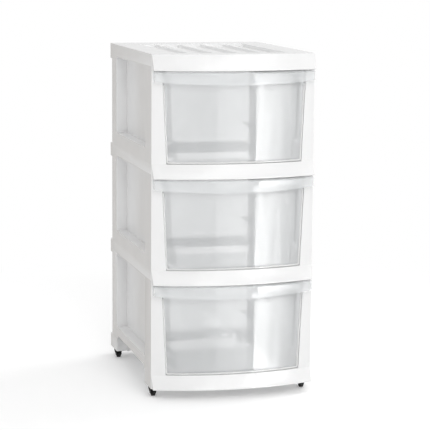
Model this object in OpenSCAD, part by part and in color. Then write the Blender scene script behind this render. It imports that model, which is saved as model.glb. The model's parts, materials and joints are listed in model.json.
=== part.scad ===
// Three-drawer plastic storage tower on four small swivel castors.
// Millimetres, +Z up, the drawers open towards -Y.
// The origin is on the floor, under the middle of the tower's box.

/* [Tower] */
// Width over the side panels
tower_w = 292; // [286:1:310]
// Depth from the middle of the bowed front to the rear skirts
tower_d = 400; // [390:1:430]
// How far the bow stands out past its own ends
bow_rise = 26; // [22:1:28]
// Height from one tier to the next
tier_pitch = 186; // [180:1:210]
// Thickness of the moulded walls
wall = 2.2; // [1.8:0.1:2.6]

/* [Frames] */
// Height of the front apron on each frame
apron_h = 25; // [24:0.5:28]
// How far the apron leans out from its top edge to its bottom edge
apron_lean = 10.5; // [8:0.5:12]
// Height of the frames' side skirts
skirt_h = 18; // [17:0.5:20]
// Width of the ring that a frame makes round its opening
ring_w = 42; // [38:1:44]

/* [Top] */
// Height of the top panel at its front
top_h = 28; // [26:0.5:32]
// Depth of the tray in the top
tray_depth = 6; // [5:0.5:8]
// Half the width of the tray
tray_half = 101; // [90:1:104]
// Number of ridges on the tray's floor
ridge_count = 4; // [2:1:5]
// Distance from ridge to ridge
ridge_pitch = 44; // [36:1:44]

/* [Side panels] */
// Depth of the front posts
front_post_d = 49; // [45:1:54]
// Depth of the rear posts
rear_post_d = 41; // [38:1:46]
// How far the web between the posts is set in
recess_depth = 20; // [16:0.5:20]
// Height of the flush band under each recess
band_h = 24; // [20:1:30]
// Rise of the arch under the two lowest bands
arch_h = 7; // [4:0.5:10]

/* [Drawers] */
// Half the width of a drawer's front at its lower edge
front_half_low = 120.3; // [119:0.1:121]
// Extra half width of the drawer's front at its upper edge
front_flare = 7.7; // [5:0.1:9]
// Height of the lower, narrower part of the tub
shoulder_h = 38; // [30:1:50]
// Half the width of the pull lip
lip_half = 143; // [138:0.5:144]
// Height of the pull lip in the middle
lip_mid_h = 20; // [17:0.5:24]
// Height of the pull lip at its ends
lip_end_h = 10; // [8:0.5:12]
// How far a drawer opens before its ears meet the front posts
drawer_travel = 250; // [200:1:252]

/* [Castors] */
// Clear height under the frame
leg_clear = 18; // [18:0.5:20]
// Radius of a castor wheel
wheel_r = 7.5; // [7:0.1:7.5]
// Width of a castor wheel
wheel_w = 7; // [6:0.1:8]
// How far the wheel trails behind its stem
trail = 4; // [3:0.1:5]
// Distance of the stems from the middle plane
castor_x = 137; // [134:0.5:137]
// Place of the front stems
castor_front_y = -141; // [-143:0.5:-138]
// Place of the rear stems
castor_rear_y = 160; // [158:0.5:164]

/* [Hidden] */

// Facets of the large bows and of the small rounds
bow_fn = 360;
small_fn = 48;
// Overreach of a cutting shape past the face that it cuts
over = 1;

// Half sizes and the bow: every curved front face turns about one upright axis
half_w = tower_w / 2;
front_y = -tower_d / 2;
rear_y = tower_d / 2;
bow_r = (half_w * half_w + bow_rise * bow_rise) / (2 * bow_rise);
bow_cy = front_y + bow_r;
bow_span = asin(half_w / bow_r) + 2;
function bow_y(r, x) = bow_cy - sqrt(r * r - x * x);

// Radii of the curved faces, from the outside in
lip_r = bow_r;
apron_r = bow_r - 2;
face_r = apron_r - apron_lean;
flange_set = 3;
flange_r = face_r - flange_set;
rebate_gap = 0.4;
rebate_r = flange_r - wall - rebate_gap;

// Levels of the tiers
base_z = leg_clear;
deck_z = [for (i = [0:2]) base_z + i * tier_pitch + apron_h];
top_z = base_z + 3 * tier_pitch;
roof_z = top_z + top_h;
top_skirt_h = top_h - (apron_h - skirt_h);
deck_t = 2.4;

// Side panels
post_y0 = bow_y(face_r, half_w);
recess_y0 = post_y0 + front_post_d;
rear_post_y1 = rear_y - 22;
recess_y1 = rear_post_y1 - rear_post_d;
web_x = half_w - recess_depth - wall;
post_in_x = 119.8;
edge_gap = 1.2;
face_low = front_half_low + edge_gap;
panel_h = tier_pitch - skirt_h;
flare_h = tier_pitch - apron_h;
stub_h = 14.4;
stub_gap = 0.3;
peg_h = 8;
peg_gap = 0.2;
peg_x = [128, 140];
peg_front_y = [-148, -124];
peg_rear_y = [146, 168];
peg_wall = 1.8;
ledge_gap = 0.1;
ledge_x = 107;
ledge_t = 2.5;
gusset_h = 14;
gusset_t = 2;
gusset_n = 5;

// Drawers, measured from the deck that a drawer stands over
rim_z = 152;
lip_z = 158;
floor_z = 4;
floor_t = 2.4;
tub_low = 104;
tub_step = 105.5;
tub_shoulder = 112.5;
tub_rim = 116.5;
rim_out = 2.1;
tub_rear_y = 172;
ear_x = 121.7;
ear_y = recess_y0 + drawer_travel + 2;
ear_h = 8;
ear_l = 12;
lip_round = 4;
lip_clear = 0.6;
front_low_gap = 0.8;

// Frames
ring_x = half_w - ring_w;
ring_y = [post_y0 + 10, rear_y - ring_w];
channel_h = 14;
rib_t = 1.8;
rib_h = 10;
rear_round = 8;
bead_r = 1.6;
end_taper = 1.5;

// Top panel
tray_y = [-142, 145];
tray_taper = 1.5;
ridge_h = 4.5;
ridge_w = 11;
ridge_taper = 2.5;
cap_r = apron_r - 8;

// Castors
socket_r = 4.5;
socket_top_z = 33;
socket_rim_r = 6.5;
socket_rim_t = 0.9;
leg_plate_t = 2.4;
boss_r = 6.5;
stem_r = 3;
run_gap = 0.06;
collar_r = 4.8;
crown_t = 1.5;
crown_z = leg_clear - socket_rim_t - 0.3 - crown_t;
crown_r = 6.5;
cheek_t = 1.5;
cheek_gap = 0.3;
axle_r = 1.5;
axle_head_r = 2.3;
axle_head_t = 0.8;
hub_r = 4.2;
rim_groove = 0.7;
tread_chamfer = 0.8;

PANEL_COLOR = [0.95, 0.96, 0.96];
DRAWER_COLOR = [0.86, 0.88, 0.88, 0.6];

// Sweep a section, drawn as (radius, height), round the bow of the front
module bow_sweep(r_fn = bow_fn) {
    translate([0, bow_cy, 0])
        rotate([0, 0, 270 - bow_span])
            rotate_extrude(angle = 2 * bow_span, $fn = r_fn)
                children();
}

// A band of the bow between two radii and two heights
module bow_band(r0, r1, z0, z1) {
    bow_sweep()
        translate([r0, z0])
            square([r1 - r0, z1 - z0]);
}

// Everything behind the bow of radius r, between two heights
module behind_bow(r, z0, z1) {
    translate([0, bow_cy, z0])
        cylinder(r = r, h = z1 - z0, $fn = bow_fn);
}

// Draw an outline given as (x, z) and stretch it from y0 to y1
module along_y(y0, y1) {
    translate([0, y1, 0])
        rotate([90, 0, 0])
            linear_extrude(y1 - y0)
                children();
}

// Draw an outline given as (y, z) and stretch it from x0 to x1
module along_x(x0, x1) {
    translate([x0, 0, 0])
        rotate([90, 0, 90])
            linear_extrude(x1 - x0)
                children();
}

// A block between two corners
module block(x, y, z) {
    translate([x[0], y[0], z[0]])
        cube([x[1] - x[0], y[1] - y[0], z[1] - z[0]]);
}

// Draw the children on the right, and again mirrored on the left
module both_sides() {
    children();
    mirror([1, 0, 0]) children();
}

// Plan of a frame: bowed front, straight sides and rounded rear corners
module frame_plan(inset, r) {
    w = half_w - inset;
    back = rear_y - inset;
    c = rear_round - inset;
    intersection() {
        union() {
            translate([-w, front_y - over]) square([2 * w, back - c - front_y + over]);
            translate([c - w, front_y - over]) square([2 * (w - c), back - front_y + over]);
            for (s = [-1, 1])
                translate([s * (w - c), back - c]) circle(r = c, $fn = small_fn);
        }
        translate([0, bow_cy]) circle(r = r, $fn = bow_fn);
    }
}

// Leaning front apron with a rolled lower edge and closed ends
module apron(z0, h, r_top) {
    lean = apron_r - r_top;
    intersection() {
        union() {
            bow_sweep() {
                polygon([
                    [r_top - wall, z0 + h], [r_top, z0 + h],
                    [apron_r, z0 + bead_r], [apron_r - wall, z0 + bead_r]
                ]);
                translate([apron_r - bead_r, z0 + bead_r]) circle(r = bead_r, $fn = small_fn);
            }
            both_sides()
                along_x(half_w - wall - end_taper, half_w)
                    polygon([
                        [post_y0 + 3, z0 + h], [bow_y(r_top, half_w), z0 + h],
                        [bow_y(apron_r - bead_r, half_w), z0 + bead_r / 2],
                        [post_y0 - lip_clear, z0 + bead_r / 2],
                        [post_y0 - lip_clear, z0 + apron_h - skirt_h],
                        [post_y0 + 3, z0 + apron_h - skirt_h]
                    ]);
        }
        along_y(front_y - over, 0)
            polygon([
                [-half_w, z0 + h + over], [half_w, z0 + h + over],
                [half_w - end_taper, z0 - over], [end_taper - half_w, z0 - over]
            ]);
    }
}

// Sockets in a deck for the pegs of the panels that stand on it
module peg_holes(z) {
    both_sides()
        for (y = [peg_front_y, peg_rear_y])
            block(peg_x + [-peg_gap, peg_gap], y + [-peg_gap, peg_gap], [z - deck_t - over, z + over]);
}

// Ribs across the channel of a frame, clear of the posts' stubs
module channel_ribs(z, h) {
    for (y = [-90:36:126])
        both_sides()
            block([ring_x + over, half_w - over], [y, y + rib_t], [z - h, z - deck_t / 2]);
    for (x = [-90:36:90])
        block([x - rib_t / 2, x + rib_t / 2], [ring_y[1] + over, rear_y - over],
              [z - h, z - deck_t / 2]);
}

// Deck, channel walls and rear wall that every open frame shares
module ring_deck(z) {
    difference() {
        translate([0, 0, z - deck_t]) linear_extrude(deck_t) frame_plan(0, face_r);
        block([-ring_x, ring_x], ring_y, [z - deck_t - over, z + over]);
        peg_holes(z);
    }
    difference() {
        block([-ring_x - wall, ring_x + wall], ring_y + [-wall, wall], [z - channel_h, z - deck_t / 2]);
        block([-ring_x, ring_x], ring_y, [z - channel_h - over, z + over]);
    }
    channel_ribs(z, rib_h);
}

// Side and rear walls that hang from a deck or from the top
module skirt(z_top, side_h, rear_h) {
    difference() {
        translate([0, 0, z_top - rear_h]) linear_extrude(rear_h - deck_t / 2) frame_plan(0, face_r);
        translate([0, 0, z_top - rear_h - over])
            linear_extrude(rear_h + 2 * over) frame_plan(wall, face_r + over);
        block([-half_w - over, half_w + over], [front_y - over, rear_post_y1 + stub_gap],
              [z_top - rear_h - over, z_top - side_h]);
    }
}

// Open frame between two tiers
module tier_frame(tier) {
    z = deck_z[tier];
    color(PANEL_COLOR) {
        ring_deck(z);
        skirt(z, skirt_h, apron_h);
        apron(z - apron_h, apron_h, face_r);
    }
}

module upper_frame() { tier_frame(2); }

module lower_frame() { tier_frame(1); }

// One hollow leg of the base, with the boss that holds a castor's socket
module leg(y0, y1, stem_y) {
    z = deck_z[0];
    x0 = ring_x;
    block([half_w - wall, half_w], [y0, y1], [base_z, z - deck_t / 2]);
    block([x0, x0 + wall], [y0, y1], [base_z, z - deck_t / 2]);
    difference() {
        block([x0, half_w], [y0, y1], [base_z, base_z + leg_plate_t]);
        translate([castor_x, stem_y, base_z - over])
            cylinder(r = socket_r, h = leg_plate_t + 2 * over, $fn = small_fn);
    }
    difference() {
        translate([castor_x, stem_y, base_z + leg_plate_t / 2])
            cylinder(r = boss_r, h = socket_top_z - base_z - leg_plate_t / 2, $fn = small_fn);
        translate([castor_x, stem_y, base_z - over])
            cylinder(r = socket_r, h = socket_top_z, $fn = small_fn);
    }
}

// Base: four hollow legs, set-in side rails between them and the lowest deck
module base_frame() {
    z = deck_z[0];
    leg_y1 = recess_y0;
    leg_y2 = recess_y1;
    rail_x = web_x;
    color(PANEL_COLOR) {
        difference() {
            ring_deck(z);
            both_sides()
                block([rail_x + wall, half_w + over], [leg_y1, leg_y2], [z - channel_h - over, z + over]);
        }
        intersection() {
            union() {
                both_sides() {
                    leg(post_y0, leg_y1, castor_front_y);
                    leg(leg_y2, rear_y - rear_round, castor_rear_y);
                    for (y = [leg_y1 - wall, leg_y2])
                        block([ring_x, half_w], [y, y + wall], [base_z, z - deck_t / 2]);
                    block([rail_x, rail_x + wall], [leg_y1 - wall, leg_y2 + wall],
                          [base_z, z - deck_t / 2]);
                }
            }
            translate([0, 0, base_z - over]) linear_extrude(apron_h + 2 * over) frame_plan(0, face_r);
        }
        difference() {
            translate([0, 0, base_z]) linear_extrude(apron_h - deck_t / 2) frame_plan(0, face_r);
            translate([0, 0, base_z - over]) linear_extrude(apron_h + 2 * over)
                frame_plan(wall, face_r + over);
            block([-half_w - over, half_w + over], [front_y - over, leg_y2],
                  [base_z - over, z + over]);
        }
        apron(base_z, apron_h, face_r);
    }
}

// Outline of the tray's wall in the top, as (x, z), grown by g
module tray_section(g) {
    z1 = roof_z + over;
    z0 = roof_z - tray_depth - g;
    polygon([
        [-tray_half - g, z1], [tray_half + g, z1],
        [tray_half + g - tray_taper, z0], [tray_taper - tray_half - g, z0]
    ]);
}

// One ridge on the floor of the tray
module ridge(x) {
    z0 = roof_z - tray_depth - over;
    z1 = roof_z - tray_depth + ridge_h;
    w = ridge_w / 2;
    along_y(tray_y[0] - wall, tray_y[1] + wall)
        polygon([
            [x - w, z0], [x + w, z0],
            [x + w - ridge_taper, z1], [x - w + ridge_taper, z1]
        ]);
}

module top_panel() {
    under = roof_z - tray_depth - deck_t;
    color(PANEL_COLOR) {
        difference() {
            union() {
                translate([0, 0, roof_z - deck_t]) linear_extrude(deck_t) frame_plan(0, cap_r);
                intersection() {
                    along_y(tray_y[0] - wall, tray_y[1] + wall) tray_section(deck_t);
                    translate([0, 0, under - over])
                        linear_extrude(roof_z - under + over) frame_plan(0, cap_r);
                }
            }
            along_y(tray_y[0], tray_y[1]) tray_section(0);
        }
        for (i = [0:ridge_count - 1])
            ridge((i - (ridge_count - 1) / 2) * ridge_pitch);
        skirt(roof_z, top_skirt_h, top_h);
        apron(top_z, top_h, cap_r);
        for (y = [-108:54:108])
            block([-tray_half, tray_half], [y, y + rib_t], [under - rib_h, under + over / 2]);
        for (s = [-1, 1])
            block([s * tray_half - rib_t / 2, s * tray_half + rib_t / 2], tray_y,
                  [under - rib_h, under + over / 2]);
        both_sides()
            for (y = [-90:36:126])
                block([tray_half + over, half_w - over], [y, y + rib_t],
                      [roof_z - rib_h, roof_z - deck_t / 2]);
    }
}

// Half width of the window at height h over the deck, on the face of the posts
function face_x(h) = face_low + front_flare * h / flare_h;

// The part of the window's slanted side between two offsets, as an (x, z) outline
module jamb_outline(z, a, b, h) {
    polygon([
        [face_x(0) + a, z], [face_x(0) + b, z],
        [face_x(h) + b, z + h], [face_x(h) + a, z + h]
    ]);
}

// Front post: curved face, slanted jamb with the rebate for the drawer's front
module front_post(z, h) {
    y0 = bow_y(rebate_r - wall, post_in_x);
    intersection() {
        union() {
            intersection() {
                bow_band(face_r - wall, face_r, z, z + h);
                along_y(front_y, 0)
                    polygon([[face_x(0), z], [half_w, z], [half_w, z + h], [face_x(h), z + h]]);
            }
            intersection() {
                bow_band(rebate_r - wall, face_r, z, z + h);
                along_y(front_y, 0) jamb_outline(z, 0, wall, h);
            }
            intersection() {
                bow_band(rebate_r - wall, rebate_r, z, z + h);
                along_y(front_y, 0)
                    polygon([[post_in_x, z], [face_x(0) + wall, z],
                             [face_x(h) + wall, z + h], [post_in_x, z + h]]);
            }
        }
        block([0, half_w], [front_y, 0], [z, z + h]);
    }
    block([half_w - wall, half_w], [post_y0, recess_y0], [z, z + h]);
    block([post_in_x, post_in_x + wall], [y0, recess_y0], [z, z + h]);
    block([post_in_x, half_w], [recess_y0 - wall, recess_y0], [z, z + h]);
    for (zz = [z, z + h - wall])
        intersection() {
            block([post_in_x, half_w], [front_y, recess_y0], [zz, zz + wall]);
            behind_bow(rebate_r, zz, zz + wall);
        }
}

// Rear post: a plain hollow upright behind the web
module rear_post(z, h) {
    x = [web_x, half_w];
    block([half_w - wall, half_w], [recess_y1, rear_post_y1], [z, z + h]);
    block(x, [recess_y1, recess_y1 + wall], [z, z + h]);
    block(x, [rear_post_y1 - wall, rear_post_y1], [z, z + h]);
    for (zz = [z, z + h - wall])
        block(x, [recess_y1, rear_post_y1], [zz, zz + wall]);
}

// Hollow stub on top of a post that the next frame slips over
module stub(y, z) {
    x = [post_in_x + wall, half_w - wall - stub_gap];
    difference() {
        block(x, y, [z - wall / 2, z + stub_h]);
        block(x + [wall, -wall], y + [wall, -wall], [z + over / 2, z + stub_h + over]);
    }
}

// Hollow peg under a post that drops into a deck
module peg(y, z) {
    difference() {
        block(peg_x, y, [z - peg_h, z + wall / 2]);
        block(peg_x + [peg_wall, -peg_wall], y + [peg_wall, -peg_wall], [z - peg_h - over, z - over / 2]);
    }
}

// Runner that the drawer's shoulder rides on, with gussets under it
module ledge(z) {
    top = z + shoulder_h - ledge_gap;
    y = [post_y0 + 4, rear_post_y1 - 10];
    step = (y[1] - y[0] - gusset_t) / (gusset_n - 1);
    block([ledge_x, web_x + wall / 2], y, [top - ledge_t, top]);
    for (i = [0:gusset_n - 1])
        along_y(y[0] + i * step, y[0] + i * step + gusset_t)
            polygon([
                [ledge_x + 3, top - ledge_t / 2], [web_x + wall / 2, top - ledge_t / 2],
                [web_x + wall / 2, top - ledge_t - gusset_h]
            ]);
}

// The arch that is cut from under the two lowest bands
module arch_cut(z) {
    y = [recess_y0 + 8, recess_y1 - 8];
    along_x(half_w - 2 * wall, half_w + over) {
        translate([y[0] + arch_h, z - over]) square([y[1] - y[0] - 2 * arch_h, arch_h + over]);
        for (c = [y[0] + arch_h, y[1] - arch_h])
            translate([c, z]) circle(r = arch_h, $fn = small_fn);
    }
}

// Side panel on the right, standing on the deck of the given tier
module side_panel(tier) {
    z = deck_z[tier];
    h = panel_h;
    front_post(z, h);
    rear_post(z, h);
    block([web_x, web_x + wall], [recess_y0 - wall, rear_post_y1], [z, z + h]);
    difference() {
        block([half_w - wall, half_w], [recess_y0 - wall, recess_y1 + wall], [z, z + band_h]);
        if (tier == 0) arch_cut(z);
    }
    block([web_x, half_w], [recess_y0 - wall, recess_y1 + wall], [z + band_h - wall, z + band_h]);
    block([web_x, half_w], [recess_y0 - wall, recess_y1 + wall], [z + h - wall, z + h]);
    stub([post_y0 + 3, recess_y0 - 4], z + h);
    stub([recess_y1 + 4, rear_post_y1 - 3], z + h);
    peg(peg_front_y, z);
    peg(peg_rear_y, z);
    ledge(z);
}

module right_panel(tier) {
    color(PANEL_COLOR) side_panel(tier);
}

module left_panel(tier) {
    color(PANEL_COLOR) mirror([1, 0, 0]) side_panel(tier);
}

module left_panel_top() { left_panel(2); }

module left_panel_middle() { left_panel(1); }

module left_panel_bottom() { left_panel(0); }

module right_panel_top() { right_panel(2); }

module right_panel_middle() { right_panel(1); }

module right_panel_bottom() { right_panel(0); }

// Section across the tub, as (x, z) over the deck; t is 0 outside and the wall inside
module tub_section(t) {
    z0 = floor_z + (t > 0 ? floor_t : 0);
    z1 = rim_z + t;
    right = [
        [tub_low - t, z0], [tub_step - t, shoulder_h + t],
        [tub_shoulder - t, shoulder_h + t], [tub_rim - t, z1]
    ];
    left = [for (i = [3:-1:0]) [-right[i][0], right[i][1]]];
    polygon(concat(right, left));
}

// Section through the pull lip, as (radius, height), t is 0 outside and the wall inside
module lip_section(t) {
    r1 = lip_r - t;
    z1 = lip_z - t;
    c = lip_round - t;
    r0 = face_r + lip_clear;
    translate([r0, lip_z - lip_mid_h - over]) square([r1 - c - r0, lip_mid_h + over - t]);
    translate([r0, lip_z - lip_mid_h - over]) square([r1 - r0, lip_mid_h + over - lip_round]);
    translate([r1 - c, z1 - c]) circle(r = c, $fn = small_fn);
}

// Pull lip: hollow underneath, deeper in the middle than at its ends
module pull_lip() {
    sag = lip_mid_h - lip_end_h;
    arc_r = (lip_half * lip_half + sag * sag) / (2 * sag);
    intersection() {
        union() {
            bow_sweep() difference() {
                lip_section(0);
                lip_section(wall);
            }
            both_sides() intersection() {
                bow_sweep() lip_section(0);
                block([lip_half - wall, lip_half], [front_y - over, 0], [0, lip_z]);
            }
        }
        block([-lip_half, lip_half], [front_y - over, 0], [0, lip_z]);
        translate([0, 0, lip_z - lip_mid_h + arc_r])
            rotate([90, 0, 0])
                cylinder(r = arc_r, h = 4 * tower_d, center = true, $fn = 2 * bow_fn);
    }
    intersection() {
        bow_band(flange_r - wall, face_r + lip_clear + wall, lip_z - wall, lip_z);
        block([-front_half_low - front_flare, front_half_low + front_flare],
              [front_y, 0], [0, lip_z]);
    }
}

// One translucent drawer: tub, bowed front, rim, stop ears and pull lip
module drawer(tier) {
    fx = function (h) front_half_low + front_flare * h / flare_h;
    color(DRAWER_COLOR)
    translate([0, 0, deck_z[tier]]) {
        difference() {
            intersection() {
                along_y(front_y, tub_rear_y) tub_section(0);
                behind_bow(flange_r - wall / 2, 0, lip_z);
            }
            intersection() {
                along_y(front_y, tub_rear_y - wall) tub_section(wall);
                behind_bow(flange_r - wall, 0, lip_z);
            }
        }
        intersection() {
            bow_band(flange_r - wall, flange_r, front_low_gap, lip_z - wall / 2);
            along_y(front_y, 0)
                polygon([
                    [-fx(0), 0], [fx(0), 0], [fx(lip_z), lip_z], [-fx(lip_z), lip_z]
                ]);
        }
        difference() {
            intersection() {
                block([-tub_rim - rim_out, tub_rim + rim_out], [front_y, tub_rear_y + rim_out],
                      [rim_z - wall, rim_z]);
                behind_bow(flange_r - wall / 2, 0, lip_z);
            }
            intersection() {
                block([wall - tub_rim, tub_rim - wall], [front_y, tub_rear_y - wall],
                      [rim_z - wall - over, rim_z + over]);
                behind_bow(flange_r - wall, 0, lip_z);
            }
        }
        both_sides()
            translate([0, 0, rim_z - ear_h])
                linear_extrude(ear_h)
                    polygon([
                        [tub_rim - wall / 2, ear_y], [ear_x, ear_y],
                        [ear_x, ear_y + ear_l / 2], [tub_rim - wall / 2, ear_y + ear_l]
                    ]);
        pull_lip();
    }
}

module drawer_top() { drawer(2); }

module drawer_middle() { drawer(1); }

module drawer_bottom() { drawer(0); }

// Places of the four stems
FL = [-castor_x, castor_front_y];
FR = [castor_x, castor_front_y];
RL = [-castor_x, castor_rear_y];
RR = [castor_x, castor_rear_y];

// Sleeve pressed into the leg's boss, with a rim under the leg
module castor_socket(at) {
    color([0.15, 0.15, 0.16])
    translate([at[0], at[1], 0])
        difference() {
            union() {
                translate([0, 0, base_z])
                    cylinder(r = socket_r, h = socket_top_z - base_z, $fn = small_fn);
                translate([0, 0, base_z - socket_rim_t])
                    cylinder(r = socket_rim_r, h = socket_rim_t, $fn = small_fn);
            }
            translate([0, 0, base_z - socket_rim_t - over])
                cylinder(r = stem_r + run_gap, h = socket_top_z, $fn = small_fn);
        }
}

// Steel stem with the collar that carries the load and a groove near its top
module castor_stem(at) {
    groove_z = socket_top_z - 4;
    color([0.75, 0.76, 0.78])
    translate([at[0], at[1], 0])
        difference() {
            union() {
                translate([0, 0, crown_z])
                    cylinder(r = stem_r, h = socket_top_z - 1 - crown_z, $fn = small_fn);
                translate([0, 0, crown_z + crown_t])
                    cylinder(r = collar_r, h = 0.3 - run_gap, $fn = small_fn);
            }
            translate([0, 0, groove_z])
                difference() {
                    cylinder(r = stem_r + over, h = 1.2, $fn = small_fn);
                    translate([0, 0, -over]) cylinder(r = stem_r - 0.5, h = 1.2 + 2 * over, $fn = small_fn);
                }
        }
}

// Black fork: round crown, two cheeks and a short rear guard
module castor_fork(at) {
    x0 = wheel_w / 2 + cheek_gap;
    top = crown_z + crown_t;
    color([0.1, 0.1, 0.11])
    translate([at[0], at[1], 0])
        difference() {
            union() {
                translate([0, 0, crown_z])
                    cylinder(r = crown_r, h = crown_t, $fn = small_fn);
                block([-x0 - cheek_t, x0 + cheek_t], [0, trail + 2], [crown_z, top]);
                both_sides()
                    along_x(x0, x0 + cheek_t) {
                        polygon([
                            [-3.2, top], [trail + 2, top],
                            [trail + 3, wheel_r], [trail - 3, wheel_r - 0.6]
                        ]);
                        translate([trail, wheel_r]) circle(r = 3, $fn = small_fn);
                    }
            }
            translate([0, 0, crown_z - over])
                cylinder(r = stem_r, h = crown_t + 2 * over, $fn = small_fn);
            translate([0, trail, wheel_r])
                rotate([0, 90, 0])
                    cylinder(r = axle_r, h = 4 * wheel_w, center = true, $fn = small_fn);
        }
}

// Steel pin through both cheeks, headed outside them
module castor_axle(at) {
    x1 = wheel_w / 2 + cheek_gap + cheek_t;
    color([0.75, 0.76, 0.78])
    translate([at[0], at[1] + trail, wheel_r])
        rotate([0, 90, 0]) {
            cylinder(r = axle_r, h = 2 * (x1 + axle_head_t / 2), center = true, $fn = small_fn);
            for (s = [-1, 1])
                translate([0, 0, s * (x1 + axle_head_t / 2)])
                    cylinder(r = axle_head_r, h = axle_head_t, center = true, $fn = small_fn);
        }
}

// Solid wheel with a raised hub, a dished side and chamfered tread
module castor_wheel(at) {
    w = wheel_w / 2;
    bore = axle_r + run_gap;
    color([0.08, 0.08, 0.09])
    translate([at[0], at[1] + trail, wheel_r])
        rotate([0, 90, 0])
            rotate_extrude($fn = 2 * small_fn)
                polygon([
                    [bore, -w], [hub_r - 1, -w], [hub_r - 1, -w + rim_groove],
                    [wheel_r - 2, -w + rim_groove], [wheel_r - 2, -w], [wheel_r - tread_chamfer, -w],
                    [wheel_r, -w + tread_chamfer], [wheel_r, w - tread_chamfer],
                    [wheel_r - tread_chamfer, w], [wheel_r - 2, w], [wheel_r - 2, w - rim_groove],
                    [hub_r - 1, w - rim_groove], [hub_r - 1, w], [bore, w]
                ]);
}

top_panel();
upper_frame();
lower_frame();
base_frame();
left_panel_top();
left_panel_middle();
left_panel_bottom();
right_panel_top();
right_panel_middle();
right_panel_bottom();
drawer_top();
drawer_middle();
drawer_bottom();
castor_socket(FL);  // castor_socket_fl
castor_socket(FR);  // castor_socket_fr
castor_socket(RL);  // castor_socket_rl
castor_socket(RR);  // castor_socket_rr
castor_stem(FL);  // castor_stem_fl
castor_stem(FR);  // castor_stem_fr
castor_stem(RL);  // castor_stem_rl
castor_stem(RR);  // castor_stem_rr
castor_fork(FL);  // castor_fork_fl
castor_fork(FR);  // castor_fork_fr
castor_fork(RL);  // castor_fork_rl
castor_fork(RR);  // castor_fork_rr
castor_axle(FL);  // castor_axle_fl
castor_axle(FR);  // castor_axle_fr
castor_axle(RL);  // castor_axle_rl
castor_axle(RR);  // castor_axle_rr
castor_wheel(FL);  // castor_wheel_fl
castor_wheel(FR);  // castor_wheel_fr
castor_wheel(RL);  // castor_wheel_rl
castor_wheel(RR);  // castor_wheel_rr
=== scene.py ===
# %% [markdown]
# # A three-drawer plastic storage tower
# The tower has white frames and side panels, milky, see-through drawers and four small black
# castors. Frames, panels and drawers are taken to be moulded polypropylene, the usual plastic
# of such towers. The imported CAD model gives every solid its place. This lesson dresses it.

# %% Load the frame
import json
import math

import bmesh
import bpy
from mathutils import Matrix, Vector


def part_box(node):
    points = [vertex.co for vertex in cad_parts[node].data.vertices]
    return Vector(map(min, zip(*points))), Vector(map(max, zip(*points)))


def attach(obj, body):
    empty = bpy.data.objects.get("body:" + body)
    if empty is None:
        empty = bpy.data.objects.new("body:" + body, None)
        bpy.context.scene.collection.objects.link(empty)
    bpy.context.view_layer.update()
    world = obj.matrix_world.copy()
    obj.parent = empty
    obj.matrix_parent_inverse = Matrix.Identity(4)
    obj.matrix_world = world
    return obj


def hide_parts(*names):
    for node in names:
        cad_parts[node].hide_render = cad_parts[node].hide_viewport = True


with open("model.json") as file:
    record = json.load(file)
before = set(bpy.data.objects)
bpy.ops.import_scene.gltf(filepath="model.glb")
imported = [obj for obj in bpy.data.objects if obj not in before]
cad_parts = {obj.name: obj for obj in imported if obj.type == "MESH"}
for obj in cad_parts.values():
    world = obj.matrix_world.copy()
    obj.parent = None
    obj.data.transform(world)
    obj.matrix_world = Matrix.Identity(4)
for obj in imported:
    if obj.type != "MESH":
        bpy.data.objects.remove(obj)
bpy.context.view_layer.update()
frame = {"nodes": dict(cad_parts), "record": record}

MM = 0.001
nodes = frame["nodes"]
slot_of = {part["node"]: part["material_slot"] for part in frame["record"]["subparts"]}
bodies = frame["record"]["behaviour"]["bodies"]
body_of = {node: body for body, content in bodies.items() for node in content}
print("nodes in the frame:", len(nodes), "on bodies:", len(bodies))


def link_object(name, data):
    """A new object with this data, linked into the scene."""
    made = bpy.data.objects.new(name, data)
    bpy.context.scene.collection.objects.link(made)
    return made


# %% [markdown]
# ## The camera
# The picture was taken from the tower's left and from a little above its top, with a long
# lens, so that upright edges stay almost parallel. The place, the three angles and the focal
# length below were fitted to the corners and edges in the picture.

# %% Camera
CAMERA_AT = Vector((-0.8005, -3.0551, 0.7837))
CAMERA_YAW = math.radians(14.866)
CAMERA_PITCH = math.radians(8.738)
CAMERA_ROLL = math.radians(0.438)
LENS_MM = 145.5
SENSOR_MM = 36.0
SIGHT = 50.0


def camera_axes(yaw, pitch, roll):
    """Right, up and forward directions of a camera turned by these angles."""
    forward = Vector((
        math.sin(yaw) * math.cos(pitch), math.cos(yaw) * math.cos(pitch), -math.sin(pitch),
    ))
    level = Vector((math.cos(yaw), -math.sin(yaw), 0.0))
    above = level.cross(forward)
    right = level * math.cos(roll) + above * math.sin(roll)
    up = above * math.cos(roll) - level * math.sin(roll)
    return right, up, forward


right, up, forward = camera_axes(CAMERA_YAW, CAMERA_PITCH, CAMERA_ROLL)
turn = Matrix((right, up, -forward)).transposed().to_4x4()
camera = link_object("camera", bpy.data.cameras.new("camera"))
camera.data.lens = LENS_MM
camera.data.sensor_width = SENSOR_MM
camera.data.clip_end = SIGHT
camera.matrix_world = Matrix.Translation(CAMERA_AT) @ turn
bpy.context.scene.camera = camera
bpy.context.scene.view_settings.view_transform = "Standard"
print("camera to the tower's middle axis, in metres:", round(CAMERA_AT.xy.length, 2))

# %% [markdown]
# ## Small helpers for materials
# Colours are written as sRGB hex, as a paint chart gives them, and turned to linear values in
# one place. One function adds a node with its settings and its links, so each material below
# reads as a short list of what makes it look as it does.

# %% Helpers for materials


def linear(hex_colour):
    """An sRGB hex colour, such as #F3F3F3, as a linear RGBA tuple."""
    channels = [int(hex_colour[i : i + 2], 16) / 255 for i in (1, 3, 5)]
    return (*[c / 12.92 if c <= 0.04045 else ((c + 0.055) / 1.055) ** 2.4 for c in channels], 1.0)


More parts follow.
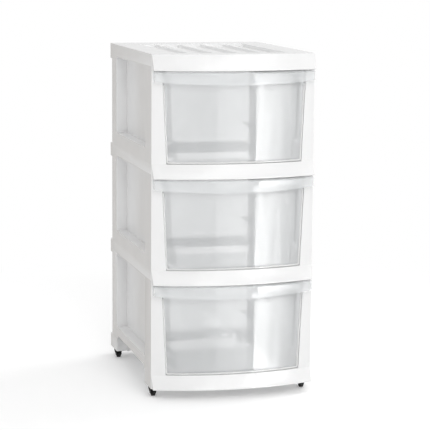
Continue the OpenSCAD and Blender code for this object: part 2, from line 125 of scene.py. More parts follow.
def add_node(tree, kind, settings=None, **inputs):
    """Add a node. Settings are its properties; inputs are values, or sockets to link from.

    An input is named as Blender labels it, with _ for a space. Where labels repeat, i0, i1
    and so on pick an input by its place.
    """
    made = tree.nodes.new(kind)
    for name, value in (settings or {}).items():
        setattr(made, name, value)
    for name, value in inputs.items():
        by_place = name[0] == "i" and name[1:].isdigit()
        socket = made.inputs[int(name[1:]) if by_place else name.replace("_", " ")]
        if isinstance(value, bpy.types.NodeSocket):
            tree.links.new(value, socket)
        else:
            socket.default_value = value
    return made


def new_material(name):
    """An empty node material with its output, ready for a shader."""
    material = bpy.data.materials.new(name)
    material.use_nodes = True
    material.node_tree.nodes.clear()
    output = material.node_tree.nodes.new("ShaderNodeOutputMaterial")
    return material, material.node_tree, output


# %% [markdown]
# ## Moulded plastic and plated steel
# A moulding takes the surface of its steel mould: a fine grain from spark erosion, and a slow
# change in gloss where the melt flowed and shrank. Both are noise on Object coordinates, whose
# unit is the metre, so a grain of g millimetres has a scale of 1000 / g. The real grain is
# about a tenth of a millimetre across, too fine to show here, so it is drawn several times
# coarser. The plated steel of the castors' pins is made with the same nodes.

# %% A grained surface
FLOW_MM = 45.0
FLOW_LOW, FLOW_HIGH = 0.3, 0.7
SHADE_LOW = 0.975
GRAIN_STRENGTH = 0.35


def grained(name, tint, roughness, spread, grain_mm, grain_depth, **finish):
    """A nearly even colour, an uneven gloss, and a fine grain as bump."""
    material, tree, output = new_material(name)
    place = add_node(tree, "ShaderNodeTexCoord").outputs["Object"]
    flow = add_node(
        tree, "ShaderNodeTexNoise", Vector=place, Scale=1000 / FLOW_MM, Detail=2.0, Roughness=0.5,
    )
    gloss = add_node(
        tree, "ShaderNodeMapRange", Value=flow.outputs["Fac"], From_Min=FLOW_LOW,
        From_Max=FLOW_HIGH, To_Min=roughness - spread, To_Max=roughness + spread,
    )
    dark = [channel * SHADE_LOW for channel in linear(tint)[:3]] + [1.0]
    shade = add_node(
        tree, "ShaderNodeMix", {"data_type": "RGBA"},
        i0=flow.outputs["Fac"], i6=dark, i7=linear(tint),
    )
    grain = add_node(
        tree, "ShaderNodeTexNoise", Vector=place, Scale=1000 / grain_mm, Detail=3.0, Roughness=0.6,
    )
    bump = add_node(
        tree, "ShaderNodeBump", Strength=GRAIN_STRENGTH, Distance=grain_depth * MM,
        Height=grain.outputs["Fac"],
    )
    shader = add_node(
        tree, "ShaderNodeBsdfPrincipled", Base_Color=shade.outputs[2],
        Roughness=gloss.outputs["Result"], Normal=bump.outputs["Normal"], **finish,
    )
    tree.links.new(shader.outputs["BSDF"], output.inputs["Surface"])
    return material


# %% The tower's materials
# White: a soft gloss, in which a lamp shows as a broad pale sheen
white_plastic = grained(
    "white_polypropylene_moulded", "#F3F3F3", roughness=0.2, spread=0.02,
    grain_mm=0.9, grain_depth=0.004, IOR=1.49,
)
# Drawers: the thin wall lets most light through and keeps a clear gloss
clear_plastic = grained(
    "translucent_polypropylene_moulded", "#F7F9FA", roughness=0.06, spread=0.01,
    grain_mm=1.5, grain_depth=0.002, IOR=1.49, Alpha=0.32, Specular_IOR_Level=1.0,
)
# Edges and beads of the drawers: a whiter, denser copy of the clear plastic, a painted highlight
# that stands in for the light which crosses more plastic there
clear_edge_painted_highlight = grained(
    "translucent_polypropylene_painted_edge_highlight", "#FFFFFF", roughness=0.12, spread=0.01,
    grain_mm=1.5, grain_depth=0.002, IOR=1.49, Alpha=0.6,
)
# Castors: a dull black with hardly any sheen
black_nylon = grained(
    "black_nylon_moulded", "#0B0B0C", roughness=0.55, spread=0.05,
    grain_mm=0.6, grain_depth=0.03, IOR=1.53, Specular_IOR_Level=0.15,
)
# Stems and axles: a cool grey metal with a soft shine
zinc_steel = grained(
    "zinc_plated_steel", "#C9CCD2", roughness=0.3, spread=0.06,
    grain_mm=0.4, grain_depth=0.01, Metallic=1.0,
)

SLOT_MATERIALS = {
    "white_plastic": white_plastic,
    "clear_plastic": clear_plastic,
    "castor_plastic": black_nylon,
    "zinc_steel": zinc_steel,
}
print("slots and their materials:", {slot: made.name for slot, made in SLOT_MATERIALS.items()})

# %% [markdown]
# ## Dress the CAD nodes
# Every node of the CAD model gets its slot's material first. Rounded copies and new pieces take
# the place of all of them further down, and a copy keeps the material of its node.

# %% Dress the CAD nodes
for name, piece in nodes.items():
    piece.data.materials.clear()
    piece.data.materials.append(SLOT_MATERIALS[slot_of[name]])
print("nodes in each slot:", {slot: list(slot_of.values()).count(slot) for slot in SLOT_MATERIALS})

# %% [markdown]
# ## Rounded edges
# A moulding has no knife edges: the mould's corners are cut with a small radius, so that the
# melt flows round them and the part lets go. Those radii catch the light as fine bright and
# dark lines. The CAD solids are sharp, so a copy of each one but the wheels has its loose
# triangles merged, its flat faces joined again, and a Bevel modifier run along its edges. The
# modifier finds the edges by their angle, so that none has to be picked by hand.

# %% Helpers for rounded copies
EDGE_ANGLE = math.radians(28)
EDGE_ROUNDS = {
    "white_plastic": 0.7, "clear_plastic": 0.6, "castor_plastic": 0.3, "zinc_steel": 0.15,
}
ROUND_SEGMENTS = 2
WELD_DISTANCE = 5e-5
FLAT_ANGLE = math.radians(0.6)


def stands_for(piece, node):
    """Make a finished piece ride on its node's body and hide the CAD node that it stands for."""
    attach(piece, body_of[node])
    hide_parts(node)


def merged_copy(node, name):
    """A new object with the node's mesh, its doubles merged and its flat faces joined."""
    mesh = nodes[node].data.copy()
    mesh.name = name
    work = bmesh.new()
    work.from_mesh(mesh)
    bmesh.ops.remove_doubles(work, verts=work.verts, dist=WELD_DISTANCE)
    bmesh.ops.dissolve_limit(work, angle_limit=FLAT_ANGLE, verts=work.verts, edges=work.edges)
    bmesh.ops.recalc_face_normals(work, faces=work.faces)
    for face in work.faces:
        face.smooth = True
    work.to_mesh(mesh)
    work.free()
    return link_object(name, mesh)


def round_edges(piece, radius):
    """Run a Bevel of this radius, in mm, along a piece's sharp edges."""
    rounding = piece.modifiers.new("rounded_edges", "BEVEL")
    rounding.width = radius * MM
    rounding.segments = ROUND_SEGMENTS
    rounding.limit_method = "ANGLE"
    rounding.angle_limit = EDGE_ANGLE
    return rounding


def evaluated_mesh(piece):
    """What a piece's modifiers make of it, as a plain mesh."""
    graph = bpy.context.evaluated_depsgraph_get()
    return bpy.data.meshes.new_from_object(piece.evaluated_get(graph), depsgraph=graph)


# %% [markdown]
# ## The drawer's front
# In the picture the pull lip is nearly as tall at its ends as in its middle, and the front
# nearly touches the posts beside it. The CAD's lip is lower at its ends, and its front keeps
# more room for the drawer's motion. So the copy's lip is drawn up a little and down at its
# ends, and its front's sides are drawn out. Only the vertices near them move, so that the rest
# of the drawer stays as the CAD has it.

# %% Sizes of the drawer's front, in mm, with heights from the deck under the drawer
HALF_WIDTH = round(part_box("base_frame")[1].x / MM, 1)
FRONT_Y = round(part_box("drawer_bottom")[0].y / MM, 1)
BOW_RISE = 26.0
BOW_RADIUS = (HALF_WIDTH**2 + BOW_RISE**2) / (2 * BOW_RISE)
BOW_CENTRE = BOW_RADIUS + FRONT_Y
APRON_SET, APRON_LEAN, FLANGE_SET = 2.0, 10.5, 3.0
FLANGE_RADIUS = BOW_RADIUS - APRON_SET - APRON_LEAN - FLANGE_SET
FRONT_LOW, FRONT_FLARE, FLARE_H = 120.3, 7.7, 161.0
FRONT_FOOT = 0.8
DRAWERS = ("drawer_bottom", "drawer_middle", "drawer_top")
DECK_Z = {node: round(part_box(node)[0].z / MM - FRONT_FOOT, 1) for node in DRAWERS}
print("decks at", DECK_Z, "mm, bow radius", round(BOW_RADIUS, 2), "mm")

# %% Fit the drawer's front
LIP_TOP, LIP_HALF = 158.0, 143.0
CAD_MIDDLE, CAD_END = 20.0, 10.0
NEW_MIDDLE, NEW_END = 22.6, 17.2
LIP_RISE = 1.6
SIDE_REACH = 0.8
TUB_Y = -100.0  # what lies behind this belongs to the tub
FRONT_WALL = 2.4  # the front's wall ends this far inside the pane's face
LIP_CAP = 4.2  # the lip's top with its round
LIP_OUT = 0.5  # what stands further out than this belongs to the lip
SIDE_TOP = 150.0  # the sides are drawn out below this height
SIDE_BAND = 0.3  # vertices as near as this to the side's edge go with it


def lip_depth(x, middle, end):
    """Height of the lip at x, from its top down to the arc of its lower edge."""
    return middle - (middle - end) * (x / LIP_HALF) ** 2


def front_half(height):
    """Half the width of the CAD drawer's front at this height."""
    return FRONT_LOW + FRONT_FLARE * height / FLARE_H


def fit_front(piece, deck):
    """Deepen the lip's ends, raise its top, and bring the front's sides close to the posts."""
    for vertex in piece.data.vertices:
        x, y, z = (value / MM for value in vertex.co)
        height = z - deck
        radius = math.hypot(x, y - BOW_CENTRE)
        if y > TUB_Y or radius < FLANGE_RADIUS - FRONT_WALL:
            continue
        if height > LIP_TOP - LIP_CAP:
            height += LIP_RISE
        elif radius > FLANGE_RADIUS + LIP_OUT:
            below = (LIP_TOP - height) / lip_depth(x, CAD_MIDDLE, CAD_END)
            height = LIP_TOP + LIP_RISE - below * lip_depth(x, NEW_MIDDLE, NEW_END)
        elif height < SIDE_TOP and abs(x) > front_half(height) - SIDE_BAND:
            x += math.copysign(SIDE_REACH, x)
        vertex.co = Vector((x, y, deck + height)) * MM


# %% [markdown]
# ## The arch between the legs
# In the picture the floor shows between the tower's legs. The CAD's base has a low rail there
# on either side, so the rails of its copy are cut to an arch, and only a strip stays under the
# lowest deck. A Boolean modifier does it: one cutter takes the same shape out of both rails.

# %% Helpers for flat-sided shapes


def prisms_x(name, shapes):
    """Prisms along x. Each is two x values and an outline of (y, z) points, all in mm."""
    points, faces = [], []
    for x0, x1, outline in shapes:
        first, count = len(points), len(outline)
        points += [Vector((x, y, z)) * MM for x in (x0, x1) for y, z in outline]
        faces.append([first + i for i in range(count)])
        faces.append([first + count + i for i in reversed(range(count))])
        faces += [
            (first + i, first + count + i, first + count + (i + 1) % count, first + (i + 1) % count)
            for i in range(count)
        ]
    mesh = bpy.data.meshes.new(name)
    mesh.from_pydata(points, [], faces)
    work = bmesh.new()
    work.from_mesh(mesh)
    bmesh.ops.recalc_face_normals(work, faces=work.faces)
    work.to_mesh(mesh)
    work.free()
    return mesh


def arc(y, z, radius, start, end, steps=8):
    """Points on an arc in (y, z), from one angle to another in degrees."""
    turns = [math.radians(start + (end - start) * i / steps) for i in range(steps + 1)]
    return [(y + radius * math.cos(a), z + radius * math.sin(a)) for a in turns]


# %% The cutter for the arches
ARCH_FROM, ARCH_TO = -105.0, 131.0
ARCH_FOOT, ARCH_TOP, ARCH_ROUND = 10.0, 37.0, 9.0
RAIL_IN, RAIL_OUT = 120, 130

arch = [(ARCH_FROM, ARCH_FOOT), (ARCH_TO, ARCH_FOOT)]
arch += arc(ARCH_TO - ARCH_ROUND, ARCH_TOP - ARCH_ROUND, ARCH_ROUND, 0, 90)
arch += arc(ARCH_FROM + ARCH_ROUND, ARCH_TOP - ARCH_ROUND, ARCH_ROUND, 90, 180)
cutter_mesh = prisms_x("arch_cutter", [(-RAIL_OUT, -RAIL_IN, arch), (RAIL_IN, RAIL_OUT, arch)])
cutter_mesh.materials.append(white_plastic)
print("arch:", ARCH_TO - ARCH_FROM, "mm long, its top", ARCH_TOP, "mm over the floor")


def cut_by(piece, mesh):
    """Take a cutter's shape out of a finished piece, and forget the cutter."""
    cutter = link_object("cutter", mesh)
    modifier = piece.modifiers.new("arch", "BOOLEAN")
    modifier.operation, modifier.solver, modifier.object = "DIFFERENCE", "EXACT", cutter
    made = evaluated_mesh(piece)
    piece.modifiers.remove(modifier)
    piece.data = made
    bpy.data.objects.remove(cutter)


# %% Round every moulding and pin
faces_made = 0
for node, slot in slot_of.items():
    if slot not in EDGE_ROUNDS or node.startswith("castor_wheel"):
        continue
    piece = merged_copy(node, node + "_moulding")
    if node == "base_frame":
        cut_by(piece, cutter_mesh)
    rounding = round_edges(piece, EDGE_ROUNDS[slot])
    rounding.harden_normals = True
    if node in DECK_Z:
        fit_front(piece, DECK_Z[node])
        # The rounded edges of a drawer take the whiter clear plastic: a painted highlight along its
        # edges
        piece.data.materials.append(clear_edge_painted_highlight)
        rounding.material = 1
    piece.data.set_sharp_from_angle(angle=EDGE_ANGLE)
    stands_for(piece, node)
    faces_made += len(piece.data.polygons)
print("faces before the rounding:", faces_made)

# %% [markdown]
# ## Node trees for pieces that follow a rule
# A castor's wheel is a few sections turned round one axis, with ribs at equal steps. The bead
# on a drawer's pane is one round section run along a line. Geometry Nodes make both, so that
# a radius or a number of ribs is one input of the modifier.

# %% Helpers for node trees


def new_tree(name, inputs):
    """A Geometry Nodes tree with a geometry input, a geometry output and the named inputs."""
    tree = bpy.data.node_groups.new(name, "GeometryNodeTree")
    tree.interface.new_socket("Geometry", in_out="INPUT", socket_type="NodeSocketGeometry")
    for label, kind in inputs.items():
        tree.interface.new_socket(label, in_out="INPUT", socket_type=kind)
    tree.interface.new_socket("Geometry", in_out="OUTPUT", socket_type="NodeSocketGeometry")
    return tree, tree.nodes.new("NodeGroupInput").outputs, tree.nodes.new("NodeGroupOutput")


def grown(name, mesh, tree, values):
    """The mesh that a tree makes of this one, with the modifier's inputs set by identifier."""
    source = link_object(name, mesh)
    modifier = source.modifiers.new(name, "NODES")
    modifier.node_group = tree
    for item in tree.interface.items_tree:
        if item.in_out == "INPUT" and item.name in values:
            modifier[item.identifier] = values[item.name]
    made = evaluated_mesh(source)
    bpy.data.objects.remove(source)
    made.name = name
    print(name, "faces:", len(made.polygons))
    return made


def place_piece(name, mesh, body):
    """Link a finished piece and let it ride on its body."""
    piece = link_object(name, mesh)
    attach(piece, body)
    return piece


# %% [markdown]
# ## Castor wheels
# Each wheel is one black moulding: a tread with round shoulders, a thin disc, a hub that is as
# wide as the tread, and ribs from hub to tread that keep the disc stiff.

# %% Sizes of a castor wheel, in mm
WHEEL_RADIUS, WHEEL_WIDTH, BORE = 7.5, 7.0, 1.6
TREAD_IN, HUB_OUT = 5.0, 3.4
DISC_IN, DISC_OUT, DISC_WIDTH = 2.3, 5.7, 2.2
RIB_IN, RIB_OUT, RIB_THICK, RIB_WIDTH = 2.3, 5.9, 0.9, 5.4
RIB_COUNT = 6
SHOULDER = 1.1
RING_STEPS, SPOT_STEPS, SHOULDER_STEPS = 64, 96, 5

# %% The wheel's node tree
tree, given, result = new_tree("castor_wheel", {
    "Ribs": "NodeSocketInt", "Shoulder": "NodeSocketFloat", "Material": "NodeSocketMaterial",
})


def ring(inner, outer, width, shoulder=None):
    """A ring between two radii: a rectangle, with round corners if asked, run round a circle."""
    middle, depth = (inner + outer) / 2, outer - inner
    path = add_node(
        tree, "GeometryNodeCurvePrimitiveCircle", Resolution=RING_STEPS, Radius=middle * MM,
    )
    path = add_node(
        tree, "GeometryNodeSetCurveNormal", {"mode": "Z_UP"}, Curve=path.outputs["Curve"],
    )
    section = add_node(
        tree, "GeometryNodeCurvePrimitiveQuadrilateral", Width=depth * MM, Height=width * MM,
    )
    if shoulder is not None:
        section = add_node(
            tree, "GeometryNodeFilletCurve", {"mode": "POLY"},
            Curve=section.outputs["Curve"], Count=SHOULDER_STEPS, Radius=shoulder,
        )
    return add_node(
        tree, "GeometryNodeCurveToMesh", Curve=path.outputs["Curve"],
        Profile_Curve=section.outputs["Curve"],
    ).outputs["Mesh"]


def spokes():
    """The ribs: one box at each of so many equal steps round a circle, turned to point out."""
    box = ((RIB_OUT - RIB_IN) * MM, RIB_THICK * MM, RIB_WIDTH * MM)
    rib = add_node(tree, "GeometryNodeMeshCube", Size=box)
    circle = add_node(
        tree, "GeometryNodeCurvePrimitiveCircle",
        Resolution=SPOT_STEPS, Radius=(RIB_IN + RIB_OUT) / 2 * MM,
    )
    spots = add_node(
        tree, "GeometryNodeCurveToPoints", Curve=circle.outputs["Curve"], Count=given["Ribs"],
    )
    index = add_node(tree, "GeometryNodeInputIndex")
    step = add_node(
        tree, "ShaderNodeMath", {"operation": "DIVIDE"}, i0=math.tau, i1=given["Ribs"],
    )
    turn = add_node(
        tree, "ShaderNodeMath", {"operation": "MULTIPLY"}, i0=index.outputs[0], i1=step.outputs[0],
    )
    angles = add_node(tree, "ShaderNodeCombineXYZ", Z=turn.outputs[0])
    return add_node(
        tree, "GeometryNodeInstanceOnPoints", Points=spots.outputs["Points"],
        Instance=rib.outputs["Mesh"], Rotation=angles.outputs[0],
    ).outputs["Instances"]


tread = ring(TREAD_IN, WHEEL_RADIUS, WHEEL_WIDTH, given["Shoulder"])
disc = ring(DISC_IN, DISC_OUT, DISC_WIDTH)
hub = ring(BORE, HUB_OUT, WHEEL_WIDTH)
joined = add_node(tree, "GeometryNodeJoinGeometry")
for part in (tread, disc, hub, spokes()):
    tree.links.new(part, joined.inputs[0])
real = add_node(tree, "GeometryNodeRealizeInstances", Geometry=joined.outputs[0])
upright = add_node(
    tree, "GeometryNodeTransform", Geometry=real.outputs[0], Rotation=(0, math.pi / 2, 0),
)
finish = add_node(
    tree, "GeometryNodeSetMaterial", Geometry=upright.outputs[0], Material=given["Material"],
)
tree.links.new(finish.outputs[0], result.inputs[0])

# %% Place the wheels
# The tree makes the whole wheel, so the mesh that it runs on is empty
CORNERS = ("fl", "fr", "rl", "rr")


def middle_of(node):
    """The middle of a CAD node's box, in metres."""
    low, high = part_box(node)
    return (low + high) / 2


wheel_mesh = grown(
    "castor_wheel", bpy.data.meshes.new("seed"), tree,
    {"Ribs": RIB_COUNT, "Shoulder": SHOULDER * MM, "Material": black_nylon},
)
for axis, label in enumerate("xyz"):
    reach = [vertex.co[axis] / MM for vertex in wheel_mesh.vertices]
    print("wheel along", label, "in mm:", round(min(reach), 2), "to", round(max(reach), 2))
for corner in CORNERS:
    node = "castor_wheel_" + corner
    mesh = wheel_mesh.copy()
    mesh.transform(Matrix.Translation(middle_of(node)))
    stands_for(link_object("ribbed_wheel_" + corner, mesh), node)

# %% [markdown]
# ## Fork hoods
# The picture shows a short dark wedge behind a castor's wheel. It is taken for a hood on the
# fork, close under the leg: two cheeks with a roof and a sloping back between them. All are
# plates of even width, so each is an outline seen from the side, made into a prism along x.

# %% Fork hoods
CHEEK_IN, CHEEK_OUT = 3.75, 5.45
ROOF_HALF = CHEEK_IN + 0.2  # the roof runs a little into both cheeks
TRAIL, CHEEK_ROUND = 4.0, 3.2

# Outlines in (y, z), in mm, with y from the stem
cheek = [(-3.4, 15.8), (23.0, 16.8), (24.0, 15.6), (11.0, 6.4)]
cheek += arc(TRAIL, WHEEL_RADIUS, CHEEK_ROUND, -20, -150, 6)
roof = [
    (12.0, 16.38), (23.0, 16.8), (24.0, 15.6), (12.4, 7.4), (12.4, 9.0), (21.6, 15.5), (12.0, 15.2),
]
HOOD_SHAPES = [
    (-CHEEK_OUT, -CHEEK_IN, cheek), (CHEEK_IN, CHEEK_OUT, cheek), (-ROOF_HALF, ROOF_HALF, roof),
]
for corner in CORNERS:
    stem = middle_of("castor_stem_" + corner)
    hood = prisms_x("fork_hood_" + corner, HOOD_SHAPES)
    hood.transform(Matrix.Translation((stem.x, stem.y, 0)))
    hood.materials.append(black_nylon)
    piece = place_piece(
        "fork_hood_" + corner, hood, body_of["castor_fork_" + corner],
    )
    round_edges(piece, EDGE_ROUNDS["castor_plastic"])
print("fork hoods:", len(CORNERS), "with faces:", len(hood.polygons))

# %% [markdown]
# ## The pane's bead
# Along the foot and the sides of each drawer's front, inside its edge, runs a low round bead.
# It keeps the large thin pane from warping as it cools, and draws a fine line round the pane, made
# paler by the painted highlight of the whiter clear plastic that it takes.
# A mesh of edges alone gives its route, and the tree sweeps a round section along that.

# %% The bead's node tree
BEAD_IN, BEAD_RADIUS, BEAD_CORNER = 1.6, 1.5, 2.5
BEAD_TOP = 136.0
FOOT_STEPS, CORNER_STEPS, BEAD_SIDES = 40, 4, 12

tree, given, result = new_tree("pane_bead", {
    "Radius": "NodeSocketFloat", "Corner": "NodeSocketFloat", "Material": "NodeSocketMaterial",
})
path = add_node(tree, "GeometryNodeMeshToCurve", Mesh=given["Geometry"])
path = add_node(
    tree, "GeometryNodeFilletCurve", {"mode": "POLY"},
    Curve=path.outputs["Curve"], Count=CORNER_STEPS, Radius=given["Corner"],
)
section = add_node(
    tree, "GeometryNodeCurvePrimitiveCircle", Resolution=BEAD_SIDES, Radius=given["Radius"],
)
bead = add_node(
    tree, "GeometryNodeCurveToMesh", Curve=path.outputs["Curve"],
    Profile_Curve=section.outputs["Curve"], Fill_Caps=True,
)
soft = add_node(tree, "GeometryNodeSetShadeSmooth", Geometry=bead.outputs["Mesh"])
real = add_node(tree, "GeometryNodeRealizeInstances", Geometry=soft.outputs[0])
finish = add_node(
    tree, "GeometryNodeSetMaterial", Geometry=real.outputs[0], Material=given["Material"],
)
tree.links.new(finish.outputs[0], result.inputs[0])

# %% Run a bead along each pane


def pane_point(x, height, deck):
    """A point on the outer face of a drawer's pane."""
    y = BOW_CENTRE - math.sqrt(FLANGE_RADIUS**2 - x * x)
    return Vector((x, y, deck + height)) * MM


def bead_half(height):
    """Half the width between the bead's two sides at this height."""
    return front_half(height) + SIDE_REACH - BEAD_IN


foot = FRONT_FOOT + BEAD_IN
foot_half = bead_half(foot)
for node, deck in DECK_Z.items():
    points = [pane_point(-bead_half(BEAD_TOP), BEAD_TOP, deck)]
    for i in range(FOOT_STEPS + 1):
        points.append(pane_point(-foot_half + 2 * foot_half * i / FOOT_STEPS, foot, deck))
    points.append(pane_point(bead_half(BEAD_TOP), BEAD_TOP, deck))
    line = bpy.data.meshes.new("pane_outline")
    line.from_pydata(points, [(i, i + 1) for i in range(len(points) - 1)], [])
    # The bead takes the whiter clear plastic, a painted highlight along the pane's edge
    mesh = grown(
        node + "_pane_bead", line, tree,
        {"Radius": BEAD_RADIUS * MM, "Corner": BEAD_CORNER * MM, "Material": clear_edge_painted_highlight},
    )
    place_piece(node + "_pane_bead", mesh, body_of[node])

# %% [markdown]
# ## The studio
# The tower stands on white paper that runs on for ever: near the tower the paper takes its
# soft shadow, and further out it is plain white to the camera, as is the world behind it.
# Gloss skips the paper. Where no panel stands in its way it meets the world, which is as white
# to gloss and to clear materials as it is to the camera. Diffuse light from both is softer, so
# that the white does not wash out the forms.

# %% Floor
FLOOR_HALF = 9.0
FLOOR_GLOW = 0.24
PLAIN_FROM, PLAIN_TO = 0.75, 1.15
WHITE = (1, 1, 1, 1)

corners = [(-FLOOR_HALF, -FLOOR_HALF, 0), (FLOOR_HALF, -FLOOR_HALF, 0)]
corners += [(FLOOR_HALF, FLOOR_HALF, 0), (-FLOOR_HALF, FLOOR_HALF, 0)]
floor_mesh = bpy.data.meshes.new("floor")
floor_mesh.from_pydata(corners, [], [(0, 1, 2, 3)])
floor = link_object("floor", floor_mesh)
floor.visible_glossy = False

floor_paper, tree, output = new_material("white_paper_floor")
path = add_node(tree, "ShaderNodeLightPath").outputs["Is Camera Ray"]
place = add_node(tree, "ShaderNodeTexCoord").outputs["Object"]
away = add_node(tree, "ShaderNodeVectorMath", {"operation": "LENGTH"}, i0=place)
far = add_node(
    tree, "ShaderNodeMapRange", {"interpolation_type": "SMOOTHSTEP"}, Value=away.outputs["Value"],
    From_Min=PLAIN_FROM, From_Max=PLAIN_TO, To_Min=0.0, To_Max=1.0,
)
plain_to_camera = add_node(
    tree, "ShaderNodeMath", {"operation": "MULTIPLY"}, i0=path, i1=far.outputs["Result"],
)
paper = add_node(tree, "ShaderNodeBsdfDiffuse", Color=linear("#F4F4F4"))
glow_level = add_node(tree, "ShaderNodeMath", {"operation": "MULTIPLY"}, i0=path, i1=FLOOR_GLOW)
glow = add_node(tree, "ShaderNodeEmission", Color=WHITE, Strength=glow_level.outputs[0])
near = add_node(tree, "ShaderNodeAddShader", i0=paper.outputs[0], i1=glow.outputs[0])
plain = add_node(tree, "ShaderNodeEmission", Color=WHITE, Strength=1.0)
both = add_node(
    tree, "ShaderNodeMixShader",
    i0=plain_to_camera.outputs[0], i1=near.outputs[0], i2=plain.outputs[0],
)
tree.links.new(both.outputs[0], output.inputs["Surface"])
floor.data.materials.append(floor_paper)

# %% World
FILL = 0.64

world = bpy.data.worlds.new("studio")
bpy.context.scene.world = world
world.use_nodes = True
tree = world.node_tree
tree.nodes.clear()
path = add_node(tree, "ShaderNodeLightPath").outputs
seen = add_node(
    tree, "ShaderNodeMath", {"operation": "MAXIMUM"},
    i0=path["Is Camera Ray"], i1=path["Is Transmission Ray"],
)
seen = add_node(
    tree, "ShaderNodeMath", {"operation": "MAXIMUM"},
    i0=seen.outputs[0], i1=path["Is Glossy Ray"],
)
fill = add_node(tree, "ShaderNodeBackground", Color=WHITE, Strength=FILL)
plain = add_node(tree, "ShaderNodeBackground", Color=WHITE, Strength=1.0)
mixed = add_node(
    tree, "ShaderNodeMixShader", i0=seen.outputs[0], i1=fill.outputs[0], i2=plain.outputs[0],
)
world_output = add_node(tree, "ShaderNodeOutputWorld")
tree.links.new(mixed.outputs[0], world_output.inputs["Surface"])
print("floor:", 2 * FLOOR_HALF, "m wide; plain white from", PLAIN_TO, "m out; fill:", FILL)

# %% [markdown]
# ## Lamps
# Three large square lamps give soft shadows: a key in front and above, a weak one at the left,
# and one high behind the right side. Gloss doesn't see them, because the panels further down
# give it its own bright shapes.

# %% Lamps


def soft_lamp(name, place, target, size, power):
    """A square area lamp that looks at a target, with its size in metres and power in watts."""
    data = bpy.data.lights.new(name, "AREA")
    data.size = size
    data.energy = power
    lamp = link_object(name, data)
    aim = (Vector(target) - Vector(place)).to_track_quat("-Z", "Y")
    lamp.matrix_world = Matrix.Translation(place) @ aim.to_matrix().to_4x4()
    lamp.visible_glossy = False
    print("lamp", name, "in watts:", power)


soft_lamp("front_key", place=(0.0, -3.3, 2.3), target=(0, 0, 0.3), size=1.6, power=44)
soft_lamp("left_fill", place=(-2.6, -1.2, 0.9), target=(0, 0, 0.3), size=1.5, power=3)
soft_lamp("right_side", place=(1.5, 0.6, 2.7), target=(0, 0, 0.2), size=1.2, power=20)

# %% [markdown]
# ## Reflections
# In the picture each window shows a long upright edge down its middle and, right of it, a
# bright band that fades, as from white panels beside the camera. Upright panels that only
# gloss sees come close to that: they light nothing else, and throw no shadow. A grey flag
# behind the tower stands in the gloss of its left side, and a paler one above it in that of
# its top.
#
# The lips show other panels than the windows do, so the plane of the panels is cut into zones,
# one for each window and each lip. An upright face keeps a ray's slope when it mirrors it, so
# the borders of the zones follow from the camera's place and the bow of the drawers.

# %% Where the drawers mirror the panels
# Places in metres, and the widest turn in radians
PANEL_Y = -0.6
EDGE_SPAN = 0.65
LOWEST_EDGE, HIGHEST_EDGE = -0.6, 0.58
WIDEST_TURN = 0.35
# In mm over a drawer's deck: where its window ends, and where the next zone above it begins
WINDOW_TOP, LIP_END = 136.1, 169.2


def mirrored_ray(turn):
    """Where a ray that the bow mirrors meets the panels, and its way there over its way in.

    The ray meets the bow at this angle about the bow's axis, from the front's middle.
    """
    outwards = Vector((math.sin(turn), -math.cos(turn)))
    face = Vector((0.0, BOW_CENTRE * MM)) + outwards * BOW_RADIUS * MM
    way_out = (face - CAMERA_AT.xy).reflect(outwards)
    share = (PANEL_Y - face.y) / way_out.y
    return face.x + share * way_out.x, share


def share_at(x):
    """The way on over the way in of the mirrored ray that meets the panels at x, by halving."""
    low, high = -WIDEST_TURN, WIDEST_TURN
    for _ in range(40):
        middle = (low + high) / 2
        if mirrored_ray(middle)[0] < x:
            low = middle
        else:
            high = middle
    return mirrored_ray(low)[1]


shares = (share_at(0.0), share_at(EDGE_SPAN))
seen_edges = [(LOWEST_EDGE, LOWEST_EDGE)]
for deck in DECK_Z.values():
    for z in ((deck + WINDOW_TOP) * MM, (deck + LIP_END) * MM):
        seen_edges.append(tuple(z + (z - CAMERA_AT.z) * share for share in shares))
seen_edges[-1] = (HIGHEST_EDGE, HIGHEST_EDGE)
for edge in seen_edges:
    print("border at x = 0 and x =", EDGE_SPAN, "in metres:", round(edge[0], 4), round(edge[1], 4))

# %% Reflector panels
# Each panel: its name, its left and right edge, and its strength at either
WINDOW_PANELS = [
    ("dim", -1.4, -0.002, (0.3, 0.3)), ("wide", 0.0, 0.19, (2.6, 3.2)),
    ("bright", 0.235, 0.64, (15.0, 1.0)),
]
LIP_PANELS = [("bright", 0.2, 0.5, (8.0, 1.0))]

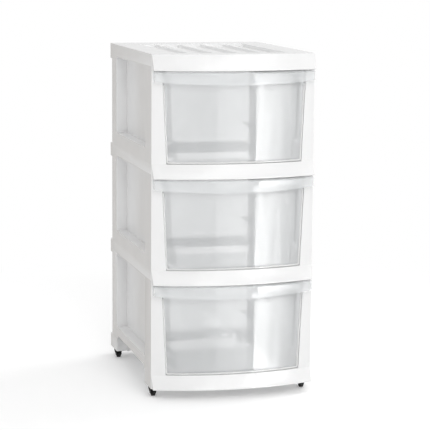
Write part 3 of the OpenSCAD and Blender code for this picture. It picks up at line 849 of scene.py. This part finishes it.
# Each plain panel: its name, y, left, right, foot, top, strength and tint
PLAIN_PANELS = [
    ("wide_panel_high", PANEL_Y, 0.0, 0.4, HIGHEST_EDGE, 1.3, 2.6, "#FFFFFF"),
    ("dim_room_high", PANEL_Y, -1.4, -0.002, HIGHEST_EDGE, 1.3, 0.3, "#FFFFFF"),
    ("grey_flag", 1.0, -1.4, -0.1, -0.6, 0.62, 0.42, "#FFF6EC"),
    ("pale_flag", 1.0, -1.4, 1.0, 0.621, 1.6, 0.75, "#FFFFFF"),
]


def reflector(name, y, left, right, low, high, strengths, tint="#FFFFFF"):
    """An upright panel seen only by gloss. Each pair runs from its left to its right edge."""
    corners = [(left, y, low[0]), (right, y, low[1]), (right, y, high[1]), (left, y, high[0])]
    mesh = bpy.data.meshes.new(name)
    mesh.from_pydata(corners, [], [(0, 1, 2, 3)])
    panel = link_object(name, mesh)
    panel.visible_camera = panel.visible_diffuse = False
    panel.visible_shadow = panel.visible_transmission = False
    material, tree, output = new_material(name)
    place = add_node(tree, "ShaderNodeTexCoord").outputs["Object"]
    across = add_node(tree, "ShaderNodeSeparateXYZ", Vector=place)
    level = add_node(
        tree, "ShaderNodeMapRange", Value=across.outputs["X"],
        From_Min=left, From_Max=right, To_Min=strengths[0], To_Max=strengths[1],
    )
    shine = add_node(
        tree, "ShaderNodeEmission", Color=linear(tint), Strength=level.outputs["Result"],
    )
    tree.links.new(shine.outputs[0], output.inputs["Surface"])
    mesh.materials.append(material)
    return panel


def edge_at(edge, x):
    """Height at x of a border between two zones."""
    return edge[0] + (edge[1] - edge[0]) * x / EDGE_SPAN


# %% Stand the panels up
# Windows and lips take turns, and a window is the first
panels = []
for zone, (low, high) in enumerate(zip(seen_edges, seen_edges[1:])):
    for kind, left, right, strengths in LIP_PANELS if zone % 2 else WINDOW_PANELS:
        feet = (edge_at(low, left), edge_at(low, right))
        tops = (edge_at(high, left), edge_at(high, right))
        name = f"{kind}_panel_{zone}"
        panels.append(reflector(name, PANEL_Y, left, right, feet, tops, strengths))
for name, y, left, right, foot, top, strength, tint in PLAIN_PANELS:
    ends = (strength, strength)
    panels.append(reflector(name, y, left, right, (foot, foot), (top, top), ends, tint))
print("panels that only gloss sees:", len(panels))
